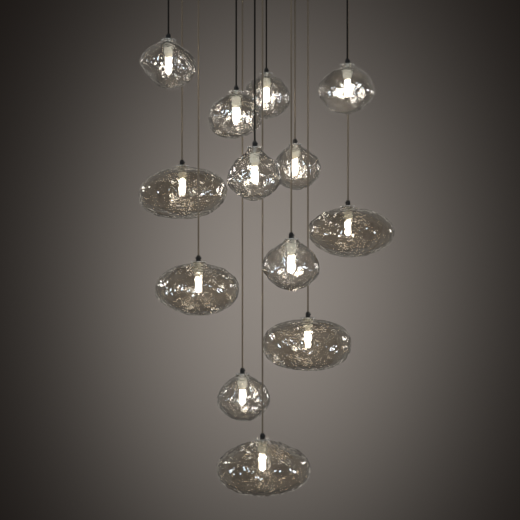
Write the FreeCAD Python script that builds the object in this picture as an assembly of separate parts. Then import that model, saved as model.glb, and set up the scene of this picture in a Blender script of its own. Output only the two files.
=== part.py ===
import FreeCAD, Part

import math
import os
from collections import namedtuple

# Cluster pendant: thirteen hand-blown glass globes hung at staggered heights from one round canopy.
# Millimetres, +Z up. The origin is the middle of the mounting plate's top face, on the ceiling.
# Seen from the front, +X is to the right and -Y is towards the viewer.

Vector = FreeCAD.Vector
UP = Vector(0, 0, 1)

# Clearances
SEAT_GAP = 0.3  # between a piece and the blown glass that it holds
SLIP_GAP = 0.15  # round a piece that passes through a drilled hole
THREAD_GAP = 0.1  # round a plain shank in its tapped hole

# Cord, and how far one may swing before its mouth would rub it
CORD_D = 5.0
LARGEST_SWING = 10.0

# Canopy: a spun steel pan with a turned-up rim, open to the ceiling
CANOPY_MARGIN = 27.5  # from the outermost cord to the rim
CANOPY_H = 50.0
CANOPY_WALL = 1.5
CANOPY_EDGE_R = 8.0
CEILING_GAP = 1.0
RIM_BEAD_D = 4.0

# Mounting plate: a disc with four arms, whose ends turn down to take the canopy's side screws
PLATE_D = 160.0
PLATE_T = 3.0
ARM_W = 40.0
LUG_DROP = 24.0
MAINS_HOLE_D = 22.0
CEILING_SCREW_PCD = 240.0
CEILING_SCREW_HOLE_D = 5.5
ARM_COUNT = 4
SIDE_SCREW_D = 4.0
SIDE_SCREW_HEAD_D = 9.0
SIDE_SCREW_HEAD_T = 3.0
SIDE_SCREW_DEPTH = 14.0  # below the ceiling

# Cord grips under the canopy, their threaded stems and lock nuts
GRIP_D = 16.0
GRIP_H = 14.0
GRIP_EDGE_R = 2.0
STEM_D = 10.0
STEM_STANDOUT = 2.0  # past the lock nut
LOCK_NUT_ACROSS = 14.0
LOCK_NUT_T = 4.0
MOUTH_DEPTH = 5.0
MOUTH_FLARE = 18.0  # degrees from the axis
GRIP_BORE_GAP = 0.4  # round the cord

# Junction box under the mounting plate, with its lid and terminal block
BOX_D = 84.0
BOX_H = 34.0
BOX_WALL = 2.0
LID_T = 2.0
LID_LIP_H = 4.0
ENTRY_GAP = 0.3  # round a cord in the wall of the box
TERMINAL_L = 30.0
TERMINAL_W = 18.0
TERMINAL_H = 12.0
TERMINAL_WAYS = 3
TERMINAL_HOLE_D = 4.0
CORD_IN_BOX = 14.0  # how far a cord reaches past the inside of the wall
HIGH_ROUTE = 12.0  # depth below the ceiling of the outer cords' way to the box
LOW_ROUTE = 25.0
OUTER_CORDS_FROM = 200.0  # cords hung further out than this take the high route

# Glass globes
GLASS_T = 3.0
NECK_D = 38.0
NECK_H = 4.0
SHOULDER_R = 32.0  # the first ring of the body below the neck
POLES_AROUND = 24
RINGS_BELOW_NECK = 11
CREASE = 14.0  # the higher, the sharper the edges between two flats

# Fitting on each globe: clear cap disc, cord grip with a set screw, nipple, bridge bar and lamp holder
CAP_D = 42.0
CAP_T = 3.0
CAP_EDGE_R = 0.8
COLLAR_D = 14.0
COLLAR_H = 16.0
COLLAR_CONE_H = 5.0
COLLAR_TIP_D = 9.0
COLLAR_EDGE_R = 0.6
COLLAR_SPOTFACE = 0.6
SET_SCREW_D = 3.0
SET_SCREW_HEAD_D = 5.0
SET_SCREW_HEAD_T = 2.0
SET_SCREW_TO_TOP = 7.6
NIPPLE_D = 10.0
NIPPLE_BORE_D = 6.6
NIPPLE_IN_COLLAR = 5.5
NIPPLE_IN_HOLDER = 5.0
BAR_OVERHANG = 4.0  # past the glass neck's bore, at each end
BAR_W = 12.0
BAR_T = 2.0
HOLDER_D = 25.0
HOLDER_H = 24.0
HOLDER_EDGE_R = 2.5
CHAMBER_D = 16.0
CHAMBER_H = 5.0
CORD_IN_CHAMBER = 2.0
SOCKET_DEPTH = 5.0

# Lamp: a capsule on two pins
PIN_SPACING = 9.0
PIN_D = 2.0
PIN_L = 6.0
PIN_GAP = 0.2
BASE_D = 20.0
BASE_H = 15.0
BASE_FOOT_D = 17.0
CAPSULE_D = 18.0
CAPSULE_H = 44.0
CAPSULE_SPIGOT_D = 13.0
CAPSULE_SPIGOT_H = 3.0

# One row for each pendant. x and y place its cord, and drop is how far its glass rim hangs below the
# ceiling. lean is how far the glass hangs to the right of the cord, tilt is how much higher its right end
# is, in degrees, and squareness is 2 for an ellipsoid and more for a fuller, flatter form. Each flat is
# where the hot glass was pressed in: its azimuth from +X and elevation in degrees, and how far it lies
# from the middle as a share of the round form's radius.
Pendant = namedtuple("Pendant", "name x y drop width depth height lean tilt squareness screws flats")

PENDANTS = [
    Pendant("a", -255, -135, 304, 155, 150, 135, -2, 0, 2.0, [200],
            [(180, 43, 0.87), (180, -37, 0.72), (0, 48, 0.90), (-65, 5, 0.86), (-110, -40, 0.84),
             (65, 20, 0.86), (120, -15, 0.88)]),
    Pendant("b", -68, -55, 435, 155, 150, 131, 0, 0, 2.0, [0],
            [(180, 47, 0.83), (180, 5, 0.90), (0, -71, 0.80), (0, -30, 0.90), (0, 30, 0.87),
             (-75, 25, 0.86), (-115, -30, 0.87), (80, -10, 0.85), (130, 35, 0.88)]),
    Pendant("c", 20, 235, 331, 143, 146, 138, 3, 0, 2.0, [30],
            [(0, 35, 0.92), (180, -35, 0.92), (-90, 30, 0.90), (-60, -40, 0.88), (100, 10, 0.88)]),
    Pendant("d", 250, -55, 358, 159, 150, 139, -2, 0, 2.0, [-20],
            [(180, 45, 0.83), (180, -20, 0.89), (0, -56, 0.82), (0, 24, 0.84), (-80, 0, 0.87),
             (-120, 40, 0.88), (-50, -45, 0.86), (75, 15, 0.85), (115, -40, 0.87)]),
    Pendant("e", -233, 75, 635, 263, 254, 157, 3, 4.5, 2.1, [10],
            [(-70, 35, 0.93), (-120, -30, 0.93), (60, -25, 0.92), (130, 40, 0.93)]),
    Pendant("f", -14, -245, 615, 145, 142, 141, -2, 0, 2.0, [0],
            [(180, 33, 0.70), (0, 31, 0.76), (180, -58, 0.88), (0, -53, 0.84), (-62, 33, 0.76),
             (-118, 35, 0.74), (62, 33, 0.76), (118, 32, 0.74), (-90, -40, 0.90)]),
    Pendant("g", 111, 265, 550, 148, 146, 141, 7, 0, 2.0, [0],
            [(0, 45, 0.93), (180, 20, 0.92), (-80, -30, 0.90), (-60, 40, 0.89), (95, 0, 0.90)]),
    Pendant("h", 264, 85, 755, 260, 252, 151, 8, -1.0, 2.0, [160],
            [(-60, -40, 0.93), (-115, 30, 0.93), (70, 30, 0.92), (140, -35, 0.93)]),
    Pendant("i", -175, -75, 921, 239, 236, 152, -4, 1.0, 2.1, [0, 180],
            [(180, -50, 0.90), (-75, -20, 0.93), (-50, 45, 0.93), (80, 30, 0.92), (110, -40, 0.93)]),
    Pendant("j", 85, -205, 859, 158, 152, 140, -1, 0, 2.0, [20],
            [(180, 38, 0.81), (180, -45, 0.82), (0, -55, 0.86), (0, 30, 0.76), (-62, 35, 0.80),
             (-115, 30, 0.78), (60, 35, 0.80), (120, 32, 0.80), (-85, -30, 0.88)]),
    Pendant("k", 140, 5, 1085, 259, 252, 151, -3, 0.5, 2.5, [0],
            [(-80, 40, 0.94), (-130, -25, 0.94), (50, -35, 0.94), (100, 35, 0.94)]),
    Pendant("l", -52, 45, 1253, 157, 150, 139, 4, 0, 2.0, [0],
            [(180, 30, 0.83), (180, -48, 0.90), (0, -37, 0.86), (0, 33, 0.84), (-70, 10, 0.86),
             (-110, -35, 0.86), (65, -20, 0.86), (110, 30, 0.86)]),
    Pendant("m", 7, -125, 1418, 264, 256, 151, 3, 0, 2.4, [-15],
            [(0, 50, 0.90), (180, 50, 0.90), (-90, 45, 0.92), (90, 48, 0.91), (-60, -30, 0.95)]),
]
CANOPY_D = 2 * (max(math.hypot(pendant.x, pendant.y) for pendant in PENDANTS) + CANOPY_MARGIN)


# Small shapes

def cylinder(diameter, length, bottom, axis=UP):
    return Part.makeCylinder(diameter / 2, length, bottom, axis)


def turned(profile):
    """The solid turned about the Z axis from its (radius, height) outline."""
    points = [Vector(radius, 0, height) for radius, height in profile]
    face = Part.Face(Part.makePolygon(points + points[:1]))
    return face.revolve(Vector(), UP, 360)


def edges_at(shape, height, diameter):
    """The circles of one diameter at one height."""
    return [
        edge for edge in shape.Edges
        if isinstance(edge.Curve, Part.Circle)
        and abs(edge.Curve.Radius - diameter / 2) < 1e-6
        and abs(edge.Curve.Center.z - height) < 1e-6
    ]


def plan_angle(x, y):
    return math.degrees(math.atan2(y, x))


def turned_about(shape, degrees):
    copy = shape.copy()
    copy.rotate(Vector(), UP, degrees)
    return copy


def moved(shape, offset):
    copy = shape.copy()
    copy.translate(offset)
    return copy


# Heights of the canopy's pieces, all below the ceiling at 0

PAN_BOTTOM = -CANOPY_H
PAN_FLOOR = PAN_BOTTOM + CANOPY_WALL
NUT_TOP = PAN_FLOOR + LOCK_NUT_T
STEM_TOP = NUT_TOP + STEM_STANDOUT
GRIP_BOTTOM = PAN_BOTTOM - GRIP_H
CORD_TOP = GRIP_BOTTOM + MOUTH_DEPTH
# a cord's top face tips up at one side as it swings, and the fixed cord above stays clear of it
SPLIT = CORD_D / 2 * math.sin(math.radians(LARGEST_SWING)) + SEAT_GAP
GRIP_BORE_D = CORD_D + 2 * GRIP_BORE_GAP


# Canopy

def canopy():
    outer_r = CANOPY_D / 2
    top = -CEILING_GAP
    pan = cylinder(CANOPY_D, CANOPY_H - CEILING_GAP, Vector(0, 0, PAN_BOTTOM))
    pan = pan.makeFillet(CANOPY_EDGE_R, edges_at(pan, PAN_BOTTOM, CANOPY_D))
    inside_d = CANOPY_D - 2 * CANOPY_WALL
    inside = cylinder(inside_d, CANOPY_H, Vector(0, 0, PAN_FLOOR))
    inside = inside.makeFillet(CANOPY_EDGE_R - CANOPY_WALL, edges_at(inside, PAN_FLOOR, inside_d))
    pan = pan.cut(inside)
    bead = Part.makeTorus(outer_r, RIM_BEAD_D / 2, Vector(0, 0, top - RIM_BEAD_D / 2))
    bead = bead.cut(cylinder(inside_d, CANOPY_H, Vector(0, 0, PAN_FLOOR)))
    pan = pan.fuse(bead)
    for pendant in PENDANTS:
        hole = cylinder(STEM_D + 2 * SLIP_GAP, 3 * CANOPY_WALL, Vector(pendant.x, pendant.y, PAN_BOTTOM))
        pan = pan.cut(moved(hole, Vector(0, 0, -CANOPY_WALL)))
    for angle in arm_angles():
        hole = cylinder(SIDE_SCREW_D + 2 * SLIP_GAP, 4 * CANOPY_WALL,
                        Vector(outer_r - 2 * CANOPY_WALL, 0, -SIDE_SCREW_DEPTH), Vector(1, 0, 0))
        pan = pan.cut(turned_about(hole, angle))
    return pan


def arm_angles():
    return [index * 360 / ARM_COUNT for index in range(ARM_COUNT)]


def lug_face_r():
    """Where a lug's outer face stands, just inside the canopy's rim."""
    return CANOPY_D / 2 - CANOPY_WALL - SEAT_GAP


def mounting_plate():
    plate = cylinder(PLATE_D, PLATE_T, Vector(0, 0, -PLATE_T))
    reach = lug_face_r()
    for angle in arm_angles():
        arm = Part.makeBox(reach, ARM_W, PLATE_T, Vector(0, -ARM_W / 2, -PLATE_T))
        lug = Part.makeBox(PLATE_T, ARM_W, LUG_DROP, Vector(reach - PLATE_T, -ARM_W / 2, -LUG_DROP))
        bend = arm.fuse(lug).removeSplitter()
        # the arm's end follows the round rim
        bend = bend.common(cylinder(2 * reach, LUG_DROP, Vector(0, 0, -LUG_DROP)))
        plate = plate.fuse(turned_about(bend, angle))
    plate = plate.removeSplitter()
    plate = plate.cut(cylinder(MAINS_HOLE_D, PLATE_T, Vector(0, 0, -PLATE_T)))
    for angle in arm_angles():
        hole = cylinder(CEILING_SCREW_HOLE_D, PLATE_T, Vector(CEILING_SCREW_PCD / 2, 0, -PLATE_T))
        plate = plate.cut(turned_about(hole, angle))
        tapped = cylinder(SIDE_SCREW_D + 2 * THREAD_GAP, 3 * PLATE_T,
                          Vector(reach - 2 * PLATE_T, 0, -SIDE_SCREW_DEPTH), Vector(1, 0, 0))
        plate = plate.cut(turned_about(tapped, angle))
    return plate


def side_screw():
    """A screw through the canopy's rim into a lug, along +X."""
    seat = CANOPY_D / 2
    tip = lug_face_r() - PLATE_T - SIDE_SCREW_D / 2
    head = Part.makeCylinder(SIDE_SCREW_HEAD_D / 2, SIDE_SCREW_HEAD_T, Vector(seat, 0, 0), Vector(1, 0, 0))
    # the head's underside is hollowed to the rim's curve
    rim = Part.makeCylinder(seat, SIDE_SCREW_HEAD_D * 2, Vector(0, 0, -SIDE_SCREW_HEAD_D))
    head = head.cut(rim)
    head = head.makeChamfer(SIDE_SCREW_HEAD_T / 4, edges_facing_out(head, seat + SIDE_SCREW_HEAD_T))
    shank = Part.makeCylinder(SIDE_SCREW_D / 2, seat - tip, Vector(tip, 0, 0), Vector(1, 0, 0))
    screw = head.fuse(shank).removeSplitter()
    slot = Part.makeBox(SIDE_SCREW_HEAD_T / 2, SIDE_SCREW_HEAD_D, SIDE_SCREW_HEAD_D / 8)
    slot.translate(Vector(seat + SIDE_SCREW_HEAD_T / 2, -SIDE_SCREW_HEAD_D / 2, -SIDE_SCREW_HEAD_D / 16))
    return moved(screw.cut(slot), Vector(0, 0, -SIDE_SCREW_DEPTH))


def edges_facing_out(shape, x):
    return [edge for edge in shape.Edges if all(abs(vertex.X - x) < 1e-6 for vertex in edge.Vertexes)]


def canopy_grip():
    """A cord grip under the pan: its body, and its stem up through the pan and the lock nut."""
    body = cylinder(GRIP_D, GRIP_H, Vector(0, 0, GRIP_BOTTOM))
    body = body.makeFillet(GRIP_EDGE_R, edges_at(body, GRIP_BOTTOM, GRIP_D))
    grip = body.fuse(cylinder(STEM_D, STEM_TOP - PAN_BOTTOM, Vector(0, 0, PAN_BOTTOM)))
    mouth_r = GRIP_BORE_D / 2 + MOUTH_DEPTH * math.tan(math.radians(MOUTH_FLARE))
    bore = turned([
        (0, GRIP_BOTTOM),
        (mouth_r, GRIP_BOTTOM),
        (GRIP_BORE_D / 2, CORD_TOP),
        (GRIP_BORE_D / 2, STEM_TOP),
        (0, STEM_TOP),
    ])
    return grip.cut(bore)


def lock_nut():
    corners = [index * 60 for index in range(7)]
    corner_r = LOCK_NUT_ACROSS / 2 / math.cos(math.radians(30))
    outline = Part.makePolygon([
        Vector(corner_r * math.cos(math.radians(a)), corner_r * math.sin(math.radians(a)), PAN_FLOOR)
        for a in corners
    ])
    nut = Part.Face(outline).extrude(UP * LOCK_NUT_T)
    return nut.cut(cylinder(STEM_D + 2 * THREAD_GAP, LOCK_NUT_T, Vector(0, 0, PAN_FLOOR)))


# Junction box and the cords' way to it

def cord_route(pendant):
    """(depth of the level run, bend radius, angle) of one cord inside the canopy."""
    outer = math.hypot(pendant.x, pendant.y) > OUTER_CORDS_FROM
    level = -(HIGH_ROUTE if outer else LOW_ROUTE)
    return level, level - STEM_TOP, plan_angle(pendant.x, pendant.y)


def inner_cord(pendant):
    """The fixed end of a cord: up through its grip, round a bend and straight in through the box's wall."""
    level, bend, angle = cord_route(pendant)
    out = math.hypot(pendant.x, pendant.y)
    start = Vector(out, 0, CORD_TOP + SPLIT)
    rise = Vector(out, 0, level - bend)
    middle = Vector(out - bend * (1 - math.sqrt(0.5)), 0, level - bend * (1 - math.sqrt(0.5)))
    turn = Vector(out - bend, 0, level)
    end = Vector(BOX_D / 2 - BOX_WALL - CORD_IN_BOX, 0, level)
    path = Part.Wire([
        Part.LineSegment(start, rise).toShape(),
        Part.Arc(rise, middle, turn).toShape(),
        Part.LineSegment(turn, end).toShape(),
    ])
    section = Part.Wire(Part.Circle(start, UP, CORD_D / 2).toShape())
    return turned_about(path.makePipeShell([section], True, False), angle)


def junction_box():
    top = -PLATE_T
    floor = top - BOX_H
    cup = cylinder(BOX_D, BOX_H, Vector(0, 0, floor))
    cup = cup.cut(cylinder(BOX_D - 2 * BOX_WALL, BOX_H - BOX_WALL, Vector(0, 0, floor)))
    cup = cup.cut(cylinder(MAINS_HOLE_D, BOX_WALL, Vector(0, 0, top - BOX_WALL)))
    for pendant in PENDANTS:
        level, _, angle = cord_route(pendant)
        entry = Part.makeCylinder(CORD_D / 2 + ENTRY_GAP, 3 * BOX_WALL,
                                  Vector(BOX_D / 2 - 2 * BOX_WALL, 0, level), Vector(1, 0, 0))
        cup = cup.cut(turned_about(entry, angle))
    lid = cylinder(BOX_D, LID_T, Vector(0, 0, floor - LID_T))
    lip_d = BOX_D - 2 * BOX_WALL - 2 * SLIP_GAP
    lip = cylinder(lip_d, LID_LIP_H, Vector(0, 0, floor))
    lip = lip.cut(cylinder(lip_d - 2 * BOX_WALL, LID_LIP_H, Vector(0, 0, floor)))
    return [cup, lid.fuse(lip).removeSplitter()]


def terminal_block():
    """A block of screw terminals under the box's top, beside the mains hole."""
    top = -PLATE_T - BOX_WALL
    block = Part.makeBox(TERMINAL_L, TERMINAL_W, TERMINAL_H,
                         Vector(-TERMINAL_L / 2, MAINS_HOLE_D / 2 - TERMINAL_W, top - TERMINAL_H))
    pitch = TERMINAL_L / TERMINAL_WAYS
    for way in range(TERMINAL_WAYS):
        x = -TERMINAL_L / 2 + pitch * (way + 0.5)
        wire_way = Part.makeCylinder(TERMINAL_HOLE_D / 2, TERMINAL_W,
                                     Vector(x, MAINS_HOLE_D / 2 - TERMINAL_W, top - TERMINAL_H / 2),
                                     Vector(0, 1, 0))
        block = block.cut(wire_way)
    return block


# Glass globes. Each is one smooth surface outside and one inside, from the neck's rim to the bottom.

def direction(azimuth, elevation):
    azimuth = math.radians(azimuth)
    elevation = math.radians(elevation)
    level = math.cos(elevation)
    return Vector(level * math.cos(azimuth), level * math.sin(azimuth), math.sin(elevation))


def unit_form(pendant, ray):
    """How far the unit form's surface lies from its middle along a ray: a round body, pressed in by flats."""
    across = math.hypot(ray.x, ray.y)
    power = pendant.squareness
    round_reach = (across ** power + abs(ray.z) ** power) ** (-1 / power)
    total = round_reach ** -CREASE
    for azimuth, elevation, reach in pendant.flats:
        facing = ray.dot(direction(azimuth, elevation))
        if facing > 0:
            total += (facing / reach) ** CREASE
    return total ** (-1 / CREASE)


def polar_ray(around, down):
    """The ray at an angle around the axis and an angle down from the top, in radians."""
    return Vector(math.sin(down) * math.cos(around), math.sin(down) * math.sin(around), math.cos(down))


def unit_extent(pendant, axis):
    """The unit form's least and greatest reach along an axis."""
    reaches = []
    for ring in range(RINGS_BELOW_NECK * 2 + 1):
        for step in range(POLES_AROUND):
            ray = polar_ray(2 * math.pi * step / POLES_AROUND, math.pi * ring / (RINGS_BELOW_NECK * 2))
            reaches.append((ray * unit_form(pendant, ray)).dot(axis))
    return min(reaches), max(reaches)


def between(low, high, share):
    return low + (high - low) * share


def glass_sizes(pendant, inset):
    """The body's width, depth and height below the neck, for a surface moved inwards by inset."""
    return [pendant.width - 2 * inset, pendant.depth - 2 * inset, pendant.height - NECK_H - 2 * inset]


def shaped_surface(pendant, inset, sizes):
    """One spline surface closed round the axis, whose body has its poles spread over these sizes."""
    spans = [unit_extent(pendant, axis) for axis in (Vector(1, 0, 0), Vector(0, 1, 0), UP)]
    scales = [size / (high - low) for size, (low, high) in zip(sizes, spans)]
    middles = [(low + high) / 2 for low, high in spans]
    centre = Vector(pendant.lean, 0, -(pendant.height + NECK_H) / 2)
    first_down = math.asin(SHOULDER_R / (pendant.width / 2))
    last = RINGS_BELOW_NECK + 3
    neck_r = NECK_D / 2 - inset

    def pole(share, around):
        """One pole, at a share from 0 at the rim to last at the bottom."""
        if share <= 1:
            return Vector(neck_r * math.cos(around), neck_r * math.sin(around), -(NECK_H + inset / 2) * share)
        down = between(first_down, math.pi, (share - 2) / (last - 2))
        ray = polar_ray(around, down)
        at = ray * unit_form(pendant, ray)
        x = centre.x + (at.x - middles[0]) * scales[0]
        y = centre.y + (at.y - middles[1]) * scales[1]
        z = centre.z + (at.z - middles[2]) * scales[2]
        z += (x - centre.x) * math.tan(math.radians(pendant.tilt)) * math.sin(down)
        if share > last - 1:
            z = -(pendant.height - inset)
        if share == last:
            x, y = centre.x, centre.y
        return Vector(x, y, z)

    shares = [0, 1 / 3] + list(range(1, last)) + [last - 1 / 3, last]
    poles = [
        [pole(share, 2 * math.pi * step / POLES_AROUND) for share in shares]
        for step in range(POLES_AROUND)
    ]
    surface = Part.BSplineSurface()
    surface.buildFromPolesMultsKnots(
        poles,
        [1] * (POLES_AROUND + 1), [4] + [1] * (last - 1) + [4],
        [float(knot) for knot in range(POLES_AROUND + 1)], [float(knot) for knot in range(last + 1)],
        True, False, 3, 3,
    )
    return surface


def glass_surface(pendant, inset):
    """The globe's surface, moved inwards by inset. A spline lies inside its poles, so they spread wider."""
    sizes = glass_sizes(pendant, inset)
    trial = shaped_surface(pendant, inset, sizes)
    steps = [index / 2 for index in range(2 * POLES_AROUND)]
    rows = [2 + index / 2 for index in range(2 * RINGS_BELOW_NECK)]
    points = [trial.value(step, row) for step in steps for row in rows]
    widths = [max(values) - min(values) for values in zip(*[(point.x, point.y) for point in points])]
    spread = [size * size / width for size, width in zip(sizes, widths)] + sizes[2:]
    return shaped_surface(pendant, inset, spread)


def filled(surface):
    """The solid inside a glass surface, closed flat across the neck's rim."""
    skin = surface.toShape()
    rim = [
        edge for edge in skin.Edges
        if not edge.Degenerated and all(abs(vertex.Z) < 1e-6 for vertex in edge.Vertexes)
    ]
    shell = Part.makeShell([skin, Part.Face(Part.Wire(rim))])
    shell.sewShape()
    solid = Part.makeSolid(shell)
    if solid.Volume < 0:
        solid.reverse()
    return solid


def globe(pendant):
    return filled(glass_surface(pendant, 0)).cut(filled(glass_surface(pendant, GLASS_T)))


def bar_half():
    """Half the bridge bar's length."""
    return NECK_D / 2 - GLASS_T + BAR_OVERHANG


def bar_seat(pendant):
    """The height at which the bridge bar's top corners come up against the inside of the glass shoulder."""
    inside = glass_surface(pendant, GLASS_T)
    half = bar_half()
    corner_r = math.hypot(half, BAR_W / 2)
    spread = math.degrees(math.atan2(BAR_W / 2, half))
    corners = [spread, 180 - spread, 180 + spread, 360 - spread]
    above, below = 1.0, 4.0
    for _ in range(30):
        row = (above + below) / 2
        points = [inside.value(POLES_AROUND * corner / 360, row) for corner in corners]
        if min(math.hypot(point.x, point.y) for point in points) < corner_r + SEAT_GAP:
            above = row
        else:
            below = row
    return min(point.z for point in points)


# Fitting and lamp. These are made with the glass rim at height 0 and the cord on the axis.

def cap_disc():
    disc = cylinder(CAP_D, CAP_T, Vector())
    disc = disc.makeFillet(CAP_EDGE_R, edges_at(disc, 0, CAP_D) + edges_at(disc, CAP_T, CAP_D))
    return disc.cut(cylinder(NIPPLE_D + 2 * SLIP_GAP, CAP_T, Vector()))


def collar(screws):
    """The cord grip on the cap disc, with its set screws, one at each of the angles in screws."""
    cone_foot = Vector(0, 0, CAP_T + COLLAR_H - COLLAR_CONE_H)
    body = cylinder(COLLAR_D, COLLAR_H - COLLAR_CONE_H, Vector(0, 0, CAP_T))
    body = body.fuse(Part.makeCone(COLLAR_D / 2, COLLAR_TIP_D / 2, COLLAR_CONE_H, cone_foot)).removeSplitter()
    body = body.makeFillet(COLLAR_EDGE_R, edges_at(body, CAP_T + COLLAR_H, COLLAR_TIP_D))
    body = body.cut(cylinder(CORD_D + 2 * SLIP_GAP, COLLAR_H, Vector(0, 0, CAP_T)))
    body = body.cut(cylinder(NIPPLE_D + 2 * THREAD_GAP, NIPPLE_IN_COLLAR + SEAT_GAP, Vector(0, 0, CAP_T)))
    height = CAP_T + COLLAR_H - SET_SCREW_TO_TOP
    seat = COLLAR_D / 2 - COLLAR_SPOTFACE
    solids = []
    for angle in screws:
        along = Vector(1, 0, 0)
        head_r = SET_SCREW_HEAD_D / 2
        spotface = Part.makeCylinder(head_r + SLIP_GAP, COLLAR_D, Vector(seat, 0, height), along)
        tapped = Part.makeCylinder(SET_SCREW_D / 2 + THREAD_GAP, COLLAR_D, Vector(0, 0, height), along)
        body = body.cut(turned_about(spotface, angle)).cut(turned_about(tapped, angle))
        tip = CORD_D / 2 + THREAD_GAP
        shank = Part.makeCylinder(SET_SCREW_D / 2, seat - tip, Vector(tip, 0, height), along)
        head = Part.makeCylinder(head_r, SET_SCREW_HEAD_T, Vector(seat, 0, height), along)
        solids.append(turned_about(shank.fuse(head).removeSplitter(), angle))
    return [body] + solids


def holder_top(seat):
    return seat - BAR_T


def nipple(seat):
    bottom = holder_top(seat) - NIPPLE_IN_HOLDER
    tube = cylinder(NIPPLE_D, CAP_T + NIPPLE_IN_COLLAR - bottom, Vector(0, 0, bottom))
    return tube.cut(cylinder(NIPPLE_BORE_D, CAP_T + NIPPLE_IN_COLLAR - bottom, Vector(0, 0, bottom)))


def bridge_bar(seat):
    half = bar_half()
    bar = Part.makeBox(2 * half, BAR_W, BAR_T, Vector(-half, -BAR_W / 2, seat - BAR_T))
    boss = cylinder(NIPPLE_D + BAR_W / 2, BAR_T, Vector(0, 0, seat - BAR_T))
    return bar.fuse(boss).removeSplitter().cut(cylinder(NIPPLE_D + 2 * THREAD_GAP, BAR_T,
                                                        Vector(0, 0, seat - BAR_T)))


def lamp_holder(seat):
    top = holder_top(seat)
    bottom = top - HOLDER_H
    chamber_top = top - NIPPLE_IN_HOLDER
    socket_top = bottom + SOCKET_DEPTH
    body = cylinder(HOLDER_D, HOLDER_H, Vector(0, 0, bottom))
    body = body.makeFillet(HOLDER_EDGE_R, edges_at(body, top, HOLDER_D))
    body = body.cut(cylinder(NIPPLE_D + 2 * THREAD_GAP, NIPPLE_IN_HOLDER, Vector(0, 0, chamber_top)))
    body = body.cut(cylinder(CHAMBER_D, CHAMBER_H, Vector(0, 0, chamber_top - CHAMBER_H)))
    body = body.cut(cylinder(BASE_D + 2 * SLIP_GAP, SOCKET_DEPTH, Vector(0, 0, bottom)))
    for side in (-1, 1):
        pin_way = cylinder(PIN_D + 2 * PIN_GAP, PIN_L + PIN_GAP, Vector(side * PIN_SPACING / 2, 0, socket_top))
        body = body.cut(pin_way)
    return body


def lamp(seat):
    """A capsule lamp in the holder's socket: its base, two pins and the lit capsule."""
    top = holder_top(seat) - HOLDER_H + SOCKET_DEPTH
    foot = top - BASE_H
    spigot_top = foot + CAPSULE_SPIGOT_H
    base = turned([
        (0, foot), (BASE_FOOT_D / 2, foot), (BASE_D / 2, between(foot, top, 0.4)), (BASE_D / 2, top), (0, top),
    ])
    base = base.cut(cylinder(CAPSULE_SPIGOT_D, CAPSULE_SPIGOT_H, Vector(0, 0, foot)))
    pins = [cylinder(PIN_D, PIN_L, Vector(side * PIN_SPACING / 2, 0, top)) for side in (-1, 1)]
    dome_r = CAPSULE_D / 2
    straight = CAPSULE_H - dome_r
    capsule = cylinder(CAPSULE_D, straight, Vector(0, 0, foot - straight))
    dome = Part.makeSphere(dome_r, Vector(0, 0, foot - straight))
    capsule = capsule.fuse(dome)
    capsule = capsule.fuse(cylinder(CAPSULE_SPIGOT_D, CAPSULE_SPIGOT_H, Vector(0, 0, foot)))
    return [base, capsule.removeSplitter()] + pins


def hanging_cord(pendant, seat):
    """The straight cord from the canopy's grip down through the collar and nipple into the lamp holder."""
    bottom = holder_top(seat) - NIPPLE_IN_HOLDER - CORD_IN_CHAMBER
    end = -pendant.drop + bottom
    return cylinder(CORD_D, CORD_TOP - end, Vector(pendant.x, pendant.y, end))


# The whole

def save(name, solids):
    shape = Part.makeCompound([solid for shape in solids for solid in shape.Solids])
    for solid in shape.Solids:
        if not solid.isValid() or solid.Volume <= 0:
            print("not a sound solid:", name)
    shape.exportStep(os.path.join("parts", name + ".step"))


def save_canopy():
    places = [Vector(pendant.x, pendant.y, 0) for pendant in PENDANTS]
    grip = canopy_grip()
    nut = lock_nut()
    screw = side_screw()
    save("canopy", [canopy()])
    save("mounting_plate", [mounting_plate()])
    save("canopy_side_screws", [turned_about(screw, angle) for angle in arm_angles()])
    save("canopy_cord_grips", [moved(grip, place) for place in places])
    save("lock_nuts", [moved(nut, place) for place in places])
    save("junction_box", junction_box())
    save("terminal_block", [terminal_block()])
    save("inner_cords", [inner_cord(pendant) for pendant in PENDANTS])
    for pendant in PENDANTS:
        _, bend, _ = cord_route(pendant)
        print(f"inner cord {pendant.name}: bend radius {bend:.1f} mm, {bend / CORD_D:.1f} diameters")


def save_pendant(pendant):
    seat = bar_seat(pendant)
    rim = Vector(pendant.x, pendant.y, -pendant.drop)
    fitting = [cap_disc()] + collar(pendant.screws) + [nipple(seat), bridge_bar(seat), lamp_holder(seat)]
    save("glass_globe_" + pendant.name, [moved(globe(pendant), rim)])
    save("globe_fitting_" + pendant.name, [moved(solid, rim) for solid in fitting])
    save("lamp_" + pendant.name, [moved(solid, rim) for solid in lamp(seat)])
    cord = hanging_cord(pendant, seat)
    save("cord_" + pendant.name, [cord])
    print(f"cord {pendant.name}: straight, {cord.BoundBox.ZLength:.0f} mm, bar seat {seat:.1f} mm")


os.makedirs("parts", exist_ok=True)
save_canopy()
for each in PENDANTS:
    save_pendant(each)
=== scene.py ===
# %% [markdown]
# A cluster pendant: thirteen lamps in blown glass, hung at different heights from one round ceiling canopy.
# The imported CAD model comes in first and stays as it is. Everything below dresses it: textile cords, glass
# with ripples and folds, small fittings, and the painted and plated parts inside the canopy. All sizes are in
# metres.

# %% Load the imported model
import math
from collections import namedtuple

import bpy
import numpy as np
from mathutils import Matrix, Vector
from mathutils.bvhtree import BVHTree


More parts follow.
